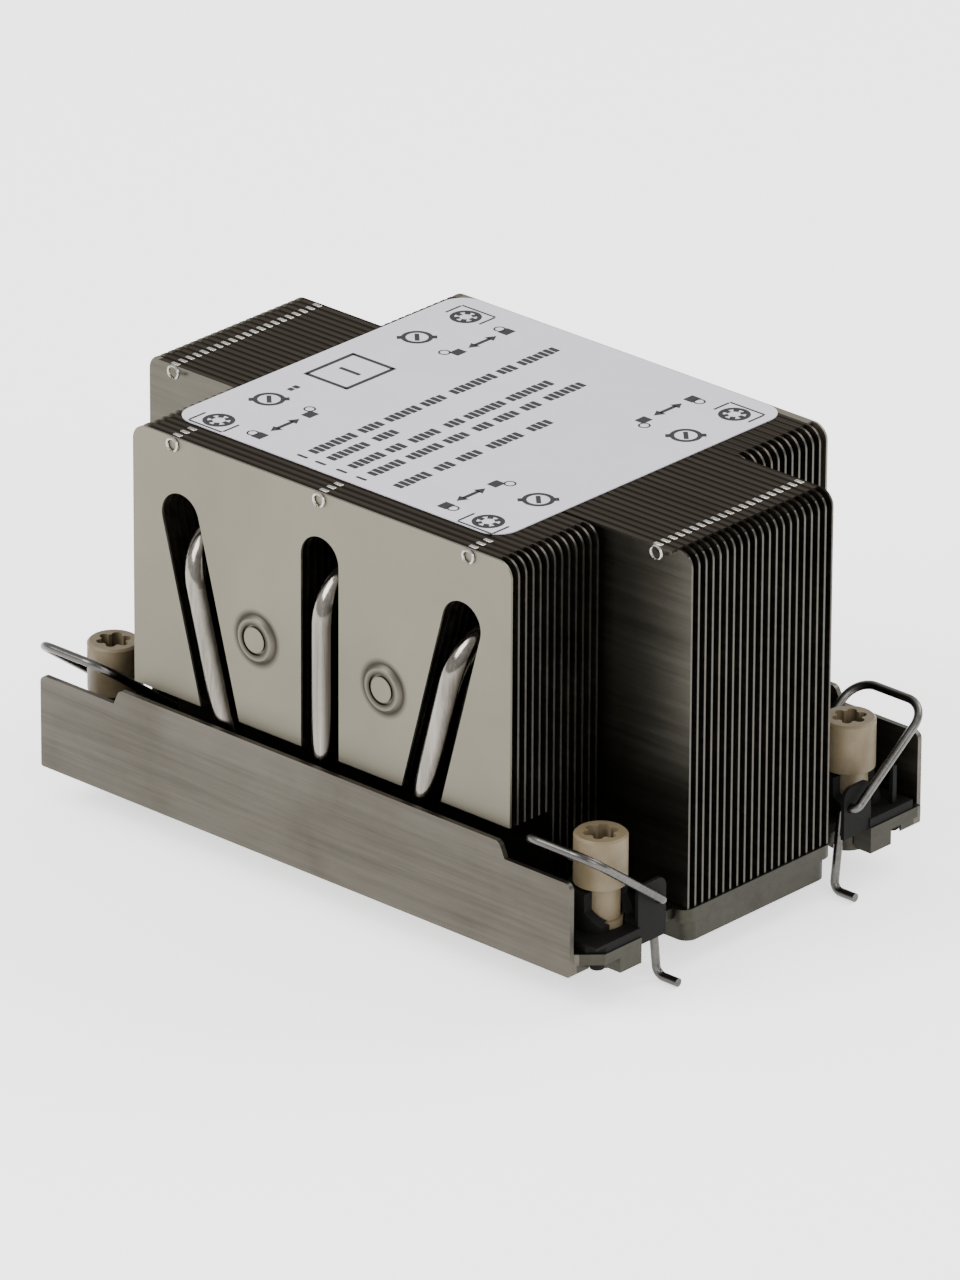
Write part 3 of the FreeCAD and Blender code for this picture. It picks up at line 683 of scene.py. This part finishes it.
@dataclass(frozen=True)
class Workshop:
    """Models new pieces with the mesh tools, in millimetres."""

    ring_sides: int = 40
    corner_steps: int = 2
    upright: float = 0.9

    def start(self, name: str) -> bpy.types.Object:
        """Makes an empty piece at the origin and opens it for editing.

        Args:
            name: the piece's name.

        Returns:
            The open piece.
        """
        bpy.ops.object.select_all(action="DESELECT")
        bpy.ops.mesh.primitive_cube_add(size=1)
        piece = bpy.context.object
        piece.name = name
        piece.data.name = name
        bpy.ops.object.mode_set(mode="EDIT")
        bpy.ops.mesh.delete(type="VERT")
        return piece

    def close(self, piece: bpy.types.Object) -> None:
        """Turns the normals outwards and leaves editing.

        Args:
            piece: the open piece.
        """
        bpy.ops.mesh.select_all(action="SELECT")
        bpy.ops.mesh.normals_make_consistent(inside=False)
        bpy.ops.object.mode_set(mode="OBJECT")
        LOG.info("%s: %d faces", piece.name, len(piece.data.polygons))

    def block(self, centre: Vector, size: Vector, turn: float = 0.0) -> None:
        """Adds a rectangular block.

        Args:
            centre: its middle.
            size: its three sides.
            turn: its turn about the upright, in radians.
        """
        bpy.ops.mesh.primitive_cube_add(size=1, location=centre * MM, scale=size * MM,
                                        rotation=(0, 0, turn))

    def prism(self, centre: Vector, radius: float, height: float, sides: int,
              turn: float) -> None:
        """Adds an upright prism.

        Args:
            centre: its middle.
            radius: from its middle to its corners.
            height: its height.
            sides: how many sides it has.
            turn: its turn about the upright, in radians.
        """
        bpy.ops.mesh.primitive_cylinder_add(vertices=sides, radius=radius * MM,
                                            depth=height * MM, location=centre * MM,
                                            rotation=(0, 0, turn))

    def ring(self, centre: Vector, outer: float, inner: float, height: float) -> None:
        """Adds a flat ring: a circle widened inwards, then raised.

        Args:
            centre: the middle of its foot.
            outer: its outer radius.
            inner: its inner radius.
            height: its height.
        """
        bpy.ops.mesh.select_all(action="DESELECT")
        bpy.ops.mesh.primitive_circle_add(vertices=self.ring_sides, radius=outer * MM,
                                          location=centre * MM)
        bpy.ops.mesh.extrude_edges_move()
        share = inner / outer
        bpy.ops.transform.resize(value=(share, share, 1), center_override=centre * MM)
        bpy.ops.mesh.select_linked()
        bpy.ops.mesh.extrude_region_move(TRANSFORM_OT_translate={"value": (0, 0, height * MM)})

    def round_corners(self, piece: bpy.types.Object, radius: float) -> None:
        """Rounds the upright corners of everything in the open piece.

        Args:
            piece: the open piece.
            radius: how far each corner is rounded.
        """
        bpy.ops.mesh.select_mode(type="EDGE")
        bpy.ops.mesh.select_all(action="DESELECT")
        bpy.ops.object.mode_set(mode="OBJECT")
        mesh = piece.data
        for edge in mesh.edges:
            start, end = (mesh.vertices[index].co for index in edge.vertices)
            edge.select = abs((end - start).normalized().z) > self.upright
        bpy.ops.object.mode_set(mode="EDIT")
        bpy.ops.mesh.bevel(offset=radius * MM, segments=self.corner_steps)
        bpy.ops.mesh.select_mode(type="VERT")

    def repeat(self, piece: bpy.types.Object, step: Vector, count: int) -> None:
        """Repeats a closed piece in a row.

        Args:
            piece: the piece.
            step: from one to the next.
            count: how many there are then.
        """
        array = piece.modifiers.new("row", "ARRAY")
        array.use_relative_offset = False
        array.use_constant_offset = True
        array.constant_offset_displace = step * MM
        array.count = count
        bpy.ops.object.modifier_apply(modifier=array.name)


@dataclass
class CornerLocks:
    """Nut, retainer and wire of every corner, and the thread in each nut."""

    bore_radius: float = 1.65
    thread_pitch: float = 0.7
    thread_turns: int = 11
    thread_steps: int = 24
    ridge: float = 0.14
    ridge_sides: int = 3
    lead_in: float = 0.4

    def build(self, dresser: Dresser, workshop: Workshop) -> None:
        """Dresses the corner pieces and puts a thread in each nut.

        Args:
            dresser: the finishes.
            workshop: the mesh tools.
        """
        thread = self._thread(workshop)
        for corner in CORNERS:
            dresser.dress(frame["nodes"]["nut_" + corner], NUT_PLASTIC)
            dresser.dress(frame["nodes"]["retainer_" + corner], BLACK_PLASTIC)
            dresser.dress(frame["nodes"]["lock_wire_" + corner], SPRING_STEEL)
            low, high = corners_of("nut_" + corner)
            middle = (low + high) / 2
            foot = Vector((middle.x, middle.y, low.z + self.lead_in))
            copy = bpy.data.objects.new("thread_" + corner, thread.data.copy())
            copy.data.transform(Matrix.Translation(foot * MM))
            bpy.context.scene.collection.objects.link(copy)
            place(copy, "turning_nut_" + corner)
            dresser.dress(copy, NUT_PLASTIC)
        bpy.data.objects.remove(thread)

    def _thread(self, workshop: Workshop) -> bpy.types.Object:
        """Models one thread around the origin: a three-sided ridge wound up the bore.

        Args:
            workshop: the mesh tools.

        Returns:
            The finished thread.
        """
        thread = workshop.start("thread")
        centre = Vector((self.bore_radius, 0, 0))
        bpy.ops.mesh.primitive_circle_add(vertices=self.ridge_sides, radius=self.ridge * MM,
                                          location=centre * MM, rotation=(math.pi / 2, 0, 0))
        bpy.ops.object.mode_set(mode="OBJECT")
        winding = thread.modifiers.new("winding", "SCREW")
        winding.screw_offset = self.thread_pitch * MM
        winding.iterations = self.thread_turns
        winding.steps = self.thread_steps
        winding.render_steps = self.thread_steps
        bpy.ops.object.modifier_apply(modifier=winding.name)
        bpy.ops.object.mode_set(mode="EDIT")
        bpy.ops.mesh.select_all(action="SELECT")
        bpy.ops.mesh.fill_holes(sides=0)
        workshop.close(thread)
        return thread


@dataclass
class PrintRow:
    """One row of plain word bars, running along Y."""

    x: float
    start: float
    words: tuple[float, ...]
    numbered: bool = True
    height: float = 2.15


@dataclass(frozen=True)
class Press:
    """Prints bars, rings and arrow heads on a level face, in millimetres."""

    workshop: Workshop
    level: float
    ink: float
    line: float

    def bar(self, x: float, y: float, wide: float, long: float, turn: float = 0.0) -> None:
        """Prints one bar.

        Args:
            x: its middle.
            y: its middle.
            wide: its size along X.
            long: its size along Y.
            turn: its turn in radians.
        """
        self.workshop.block(Vector((x, y, self.level)), Vector((wide, long, 2 * self.ink)), turn)

    def ring(self, x: float, y: float, outer: float, inner: float | None = None) -> None:
        """Prints a ring.

        Args:
            x: its middle.
            y: its middle.
            outer: its outer radius.
            inner: its inner radius, by default one line less than the outer one.
        """
        inner = outer - self.line if inner is None else inner
        self.workshop.ring(Vector((x, y, self.level - self.ink)), outer, inner, 2 * self.ink)

    def head(self, x: float, y: float, radius: float, turn: float) -> None:
        """Prints a three-sided arrow head.

        Args:
            x: its middle.
            y: its middle.
            radius: from its middle to its corners.
            turn: its turn in radians.
        """
        self.workshop.prism(Vector((x, y, self.level)), radius, 2 * self.ink, 3, turn)


@dataclass
class Label:
    """Film on top of the fins, with its plain print."""

    ink: float = 0.02
    ink_corner: float = 0.15
    block: float = 0.98
    block_pitch: float = 1.22
    number_share: float = 0.6
    low_share: float = 0.88
    low_every: int = 3
    word_gap: float = 1.35
    number_gap: float = 1.9
    rows: tuple[PrintRow, ...] = (
        PrintRow(-11.1, -28.0, (9.6, 4.6, 6.8, 5.2, 9.4, 3.4, 8.6)),
        PrintRow(-7.3, -28.0, (8.8, 5.2)),
        PrintRow(-2.9, -28.0, (7.0, 3.8, 6.6, 3.2, 8.2, 9.4)),
        PrintRow(1.2, -28.0, (7.2, 7.0, 5.2, 3.4, 4.8, 4.0, 8.4)),
        PrintRow(7.3, -26.8, (7.6, 3.6, 5.4, 7.8, 5.4), numbered=False),
        PrintRow(-30.2, -11.0, (2.4,), numbered=False, height=1.2),
    )
    near_row: float = -26.7
    far_row: float = 29.2
    icon_step: float = 11.2
    column: float = 28.1
    column_middle: float = -1.9
    lock_inset: float = 8.7
    ring_radius: float = 2.55
    line: float = 0.75
    teeth: int = 6
    tooth_inset: float = 1.5
    tooth_size: float = 1.2
    slant: float = math.radians(45)
    slant_reach: float = 1.1
    tick_length: float = 1.6
    bracket_gap: float = 1.0
    bracket_line: float = 0.55
    bracket_tuck: float = 0.5
    lock_size: Pair = (1.9, 2.2)
    lock_ring: Pair = (1.0, 0.7)
    lock_ring_shift: float = 1.5
    arrow_length: float = 3.6
    head_reach: float = 2.1
    head_radius: float = 1.15
    frame_place: Pair = (-28.4, 1.0)
    frame_size: Pair = (8.6, 10.6)
    frame_bar: float = 0.5

    def build(self, dresser: Dresser, workshop: Workshop) -> None:
        """Dresses the film and prints it.

        Args:
            dresser: the finishes.
            workshop: the mesh tools.
        """
        dresser.dress(frame["nodes"]["label"], LABEL_FILM)
        press = Press(workshop, corners_of("label")[1].z, self.ink, self.line)
        ink = workshop.start("label_print")
        self._rows(press)
        self._frame(press)
        workshop.round_corners(ink, self.ink_corner)
        self._icons(press)
        workshop.close(ink)
        place(ink)
        dresser.dress(ink, PRINT_INK)

    def _rows(self, press: Press) -> None:
        """Prints the rows, each word a run of plain blocks.

        Args:
            press: what prints on the film.
        """
        for row in self.rows:
            y = row.start
            if row.numbered:
                press.bar(row.x, y, row.height, self.block * self.number_share)
                y += self.number_gap
            for word in row.words:
                for step in range(round(word / self.block_pitch)):
                    tall = row.height * (1.0 if step % self.low_every else self.low_share)
                    press.bar(row.x, y + (step + 0.5) * self.block_pitch, tall, self.block)
                y += word + self.word_gap

    def _icons(self, press: Press) -> None:
        """Prints the ring pairs and the block pairs with their arrows.

        Args:
            press: what prints on the film.
        """
        for side in (-1, 1):
            x = self.column_middle + side * self.column
            lock_x = x - side * self.lock_inset
            for outer_y, inward in ((self.near_row, 1), (self.far_row, -1)):
                inner_y = outer_y + inward * self.icon_step
                self._toothed_ring(press, x, outer_y)
                self._bracket(press, x, outer_y, inward)
                self._barred_ring(press, x, inner_y)
                self._lock(press, lock_x, outer_y, side, 0.0)
                self._lock(press, lock_x, inner_y, side, inward * self.lock_ring_shift)
                self._arrow(press, lock_x, (outer_y + inner_y) / 2)

    def _toothed_ring(self, press: Press, x: float, y: float) -> None:
        """Prints a ring with teeth inside.

        Args:
            press: what prints on the film.
            x: its middle.
            y: its middle.
        """
        press.ring(x, y, self.ring_radius)
        reach = self.ring_radius - self.line * self.tooth_inset
        size = self.line * self.tooth_size
        for tooth in range(self.teeth):
            turn = math.tau * tooth / self.teeth
            press.bar(x + reach * math.cos(turn), y + reach * math.sin(turn), size, size, turn)

    def _barred_ring(self, press: Press, x: float, y: float) -> None:
        """Prints a ring with a slanting bar inside and a tick on each side.

        Args:
            press: what prints on the film.
            x: its middle.
            y: its middle.
        """
        press.ring(x, y, self.ring_radius)
        press.bar(x, y, self.ring_radius * self.slant_reach, self.line, -self.slant)
        for side in (-1, 1):
            reach = side * self.ring_radius * self.slant_reach
            press.bar(x + reach * math.cos(self.slant), y + reach * math.sin(self.slant),
                      self.line * self.tick_length, self.line, -self.slant)

    def _bracket(self, press: Press, x: float, y: float, inward: int) -> None:
        """Prints a thin three-sided bracket around a ring.

        Args:
            press: what prints on the film.
            x: the ring's middle.
            y: the ring's middle.
            inward: side on which it is open.
        """
        half = self.ring_radius + self.bracket_gap
        thin = self.line * self.bracket_line
        press.bar(x, y - inward * (half - self.bracket_tuck), 2 * half, thin)
        for side in (-1, 1):
            press.bar(x + side * half, y - inward * self.bracket_gap, thin, half)

    def _lock(self, press: Press, x: float, y: float, side: int, shift: float) -> None:
        """Prints a solid block with a thin ring behind it.

        Args:
            press: what prints on the film.
            x: the block's middle.
            y: the block's middle.
            side: side on which the ring lies, along X.
            shift: how far the ring is moved along Y.
        """
        press.bar(x, y, *self.lock_size)
        press.ring(x + side * self.lock_ring_shift, y + shift, *self.lock_ring)

    def _arrow(self, press: Press, x: float, y: float) -> None:
        """Prints a double arrow along Y.

        Args:
            press: what prints on the film.
            x: its middle.
            y: its middle.
        """
        press.bar(x, y, self.line, self.arrow_length)
        for end in (-1, 1):
            press.head(x, y + end * self.head_reach, self.head_radius, (1 - end) * math.pi / 2)

    def _frame(self, press: Press) -> None:
        """Prints a plain hollow frame with a bar in it.

        Args:
            press: what prints on the film.
        """
        x, y = self.frame_place
        wide, long = self.frame_size
        for side in (-1, 1):
            press.bar(x + side * wide / 2, y, self.line, long + self.line)
            press.bar(x, y + side * long / 2, wide, self.line)
        press.bar(x, y, wide * self.frame_bar, self.line)


@dataclass
class FinClips:
    """Small tongues that hook each fin's lip to the next one, and the loops they end in."""

    wing_x: float = 50.3
    core_x: float = 30.8
    pitch: float = FIN_PITCH
    lip_middle: float = 0.54
    tongue: Triple = (1.6, 0.72, 0.28)
    tongue_round: float = 0.12
    tongue_steps: int = 3
    loop_radius: float = 1.05
    loop_wire: float = 0.24
    loop_drop: float = 1.2
    loop_mouth: float = 0.95
    loop_steps: int = 28
    wire_sides: int = 8

    def build(self, dresser: Dresser, workshop: Workshop) -> None:
        """Sets the tongues on the lips and the loops on the front fins.

        Args:
            dresser: the finishes.
            workshop: the mesh tools.
        """
        wings_low, wings_high = corners_of("wing_fins")
        core_low = corners_of("front_fins")[0]
        label_front = corners_of("label")[0].y
        lip_top = wings_high.z
        wing_lips = round((wings_high.y - wings_low.y) / self.pitch)
        core_lips = int((label_front - core_low.y) / self.pitch)
        wing_step = Vector((2 * self.wing_x, 0, 0))
        core_step = Vector((self.core_x, 0, 0))
        wing_start = Vector((-self.wing_x, wings_low.y + self.lip_middle, lip_top))
        core_start = Vector((-self.core_x, core_low.y + self.lip_middle, lip_top))
        loop_level = lip_top - self.loop_drop
        wing_loop = Vector((-self.wing_x, wings_low.y, loop_level))
        core_loop = Vector((-self.core_x, self._end_face(), loop_level))
        pieces = (
            (self._tongue(workshop, "wing_fin_tongues", wing_start), wing_step, 2, wing_lips,
             "fin_metal"),
            (self._tongue(workshop, "front_fin_tongues", core_start), core_step, 3, core_lips,
             "fin_metal"),
            (self._loop(workshop, "wing_fin_loops", wing_loop), wing_step, 2, 1, "fin_metal"),
            (self._loop(workshop, "end_fin_loops", core_loop), core_step, 3, 1, "end_fin_metal"),
        )
        for piece, step, across, along, slot in pieces:
            bpy.context.view_layer.objects.active = piece
            workshop.repeat(piece, step, across)
            workshop.repeat(piece, Vector((0, self.pitch, 0)), along)
            place(piece)
            dresser.dress(piece, TONGUE_PAINTED_GLINT)

    def _tongue(self, workshop: Workshop, name: str, centre: Vector) -> bpy.types.Object:
        """Models one tongue: a low block with all its edges rounded.

        Args:
            workshop: the mesh tools.
            name: the piece's name.
            centre: the tongue's middle.

        Returns:
            The tongue.
        """
        piece = workshop.start(name)
        workshop.block(centre, Vector(self.tongue))
        bpy.ops.mesh.bevel(offset=self.tongue_round * MM, segments=self.tongue_steps)
        workshop.close(piece)
        bpy.ops.object.shade_smooth_by_angle()
        return piece

    def _loop(self, workshop: Workshop, name: str, centre: Vector) -> bpy.types.Object:
        """Models one loop: a ring that is cut open at its foot.

        Args:
            workshop: the mesh tools.
            name: the piece's name.
            centre: the loop's middle.

        Returns:
            The loop.
        """
        piece = workshop.start(name)
        bpy.ops.mesh.primitive_torus_add(location=centre * MM, major_radius=self.loop_radius * MM,
                                         minor_radius=self.loop_wire * MM,
                                         major_segments=self.loop_steps,
                                         minor_segments=self.wire_sides,
                                         rotation=(math.pi / 2, 0, 0))
        foot = centre - Vector((0, 0, self.loop_mouth))
        bpy.ops.mesh.select_all(action="SELECT")
        bpy.ops.mesh.bisect(plane_co=foot * MM, plane_no=(0, 0, -1), use_fill=True,
                            clear_outer=True)
        workshop.close(piece)
        bpy.ops.object.shade_smooth_by_angle()
        return piece

    @staticmethod
    def _end_face() -> float:
        """Finds the front side of the front end fin's sheet.

        Returns:
            Its place along Y in millimetres.
        """
        mesh = frame["nodes"]["front_end_fin"].data
        fronts = sorted(vertex.co.y for vertex in mesh.vertices)
        return fronts[len(fronts) // 2] / MM


@dataclass
class Studio:
    """Floor, lights and camera."""

    floor_level: float = -4.25
    floor_size: float = 6000.0
    floor_colour: Triple = (0.95, 0.95, 0.95)
    floor_glow: float = 1.3
    floor_roughness: float = 0.9
    floor_specular: float = 0.1
    room_light: float = 1.15
    azimuth: float = 42.522
    elevation: float = 24.384
    roll: float = 0.268
    camera_place: Triple = (1188.46, -1295.84, 825.29)
    focal_length: float = 351.05
    sensor: float = 36.0
    clip_end: float = 20000.0
    lights: tuple[tuple[str, Triple, float, float], ...] = (
        ("Key", (-500.0, -900.0, 900.0), 700.0, 18.0),
        ("Fill", (900.0, -300.0, 500.0), 600.0, 5.0),
        ("Back", (200.0, 900.0, 900.0), 700.0, 10.0),
    )

    def build(self) -> None:
        """Sets the stage."""
        self._floor()
        self._world()
        for name, spot, size, power in self.lights:
            self._light(name, spot, size, power)
        self._camera()

    def _floor(self) -> None:
        """Lays a plain pale floor."""
        bpy.ops.object.select_all(action="DESELECT")
        bpy.ops.mesh.primitive_plane_add(size=self.floor_size * MM,
                                         location=(0, 0, self.floor_level * MM))
        floor = bpy.context.object
        floor.name = "floor"
        floor.data.transform(floor.matrix_world)
        floor.matrix_world = Matrix.Identity(4)
        material = bpy.data.materials.new("Pale floor")
        material.use_nodes = True
        shader = material.node_tree.nodes["Principled BSDF"]
        shader.inputs["Base Color"].default_value = (*self.floor_colour, 1)
        shader.inputs["Emission Color"].default_value = WHITE
        shader.inputs["Emission Strength"].default_value = self.floor_glow
        shader.inputs["Roughness"].default_value = self.floor_roughness
        shader.inputs["Specular IOR Level"].default_value = self.floor_specular
        floor.data.materials.append(material)

    def _world(self) -> None:
        """Lights the room evenly."""
        world = bpy.data.worlds.new("Studio")
        bpy.context.scene.world = world
        world.use_nodes = True
        background = world.node_tree.nodes["Background"]
        background.inputs["Color"].default_value = WHITE
        background.inputs["Strength"].default_value = self.room_light

    @staticmethod
    def _light(name: str, spot: Triple, size: float, power: float) -> None:
        """Hangs one soft square light, turned to the heatsink.

        Args:
            name: the light's name.
            spot: where it hangs, in millimetres.
            size: its side, in millimetres.
            power: its power in watts.
        """
        data = bpy.data.lights.new(name, "AREA")
        data.energy = power
        data.size = size * MM
        light = bpy.data.objects.new(name, data)
        light.location = Vector(spot) * MM
        light.rotation_euler = Vector(spot).to_track_quat("Z", "Y").to_euler()
        bpy.context.scene.collection.objects.link(light)

    def _camera(self) -> None:
        """Places the camera."""
        turn, rise, roll = (math.radians(a) for a in (self.azimuth, self.elevation, self.roll))
        back = Vector((math.sin(turn) * math.cos(rise), -math.cos(turn) * math.cos(rise),
                       math.sin(rise)))
        right = Vector((math.cos(turn), math.sin(turn), 0))
        up = back.cross(right)
        level = Matrix((right, up, back)).transposed()
        data = bpy.data.cameras.new("Camera")
        data.sensor_fit = "VERTICAL"
        data.sensor_height = self.sensor
        data.lens = self.focal_length
        data.clip_end = self.clip_end * MM
        camera = bpy.data.objects.new("Camera", data)
        camera.matrix_world = (Matrix.Translation(Vector(self.camera_place) * MM)
                               @ (level @ Matrix.Rotation(roll, 3, "Z")).to_4x4())
        bpy.context.scene.collection.objects.link(camera)
        bpy.context.scene.camera = camera


def main() -> None:
    """Builds every sub-assembly, then the studio."""
    logging.basicConfig(level=logging.INFO, format="%(name)s: %(message)s")
    dresser = Dresser(EffectShelf())
    for part in (FinStack(), Base()):
        part.build(dresser)
    workshop = Workshop()
    for part in (CornerLocks(), Label(), FinClips()):
        part.build(dresser, workshop)
    Studio().build()


if __name__ == "__main__":
    main()
